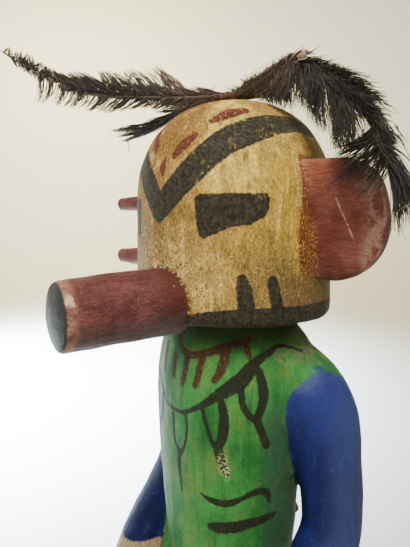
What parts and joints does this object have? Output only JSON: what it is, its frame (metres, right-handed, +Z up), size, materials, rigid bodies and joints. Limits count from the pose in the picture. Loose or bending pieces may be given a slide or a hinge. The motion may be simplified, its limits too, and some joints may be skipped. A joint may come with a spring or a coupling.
{
  "type": "kachina doll",
  "caption": "Carved and painted wooden doll in a domed case mask with snout, flat ear, ear pegs and feathers tied to the crown, standing on a low wooden base",
  "frame": {"origin": "middle of the base's underside", "axes": "+Z up, -Y the way the doll faces, +X its own left"},
  "size_m": [0.1246, 0.095, 0.2997],
  "materials": {
    "base_wood": "bare, oiled by handling",
    "painted_wood": "matt earth paint, worn",
    "red_wood": "matt red paint, worn",
    "tie_cord": "twisted cord",
    "feather": "dark natural feather"
  },
  "bodies": {
    "root": {"base": "base_wood", "figure": "painted_wood", "snout": "red_wood", "ear": "red_wood", "ear_peg_upper": "red_wood", "ear_peg_lower": "red_wood", "back_peg": "red_wood", "feather_tie": "tie_cord", "plume_front": "feather", "plume_arched": "feather", "plume_small": "feather"}
  },
  "joints": []
}
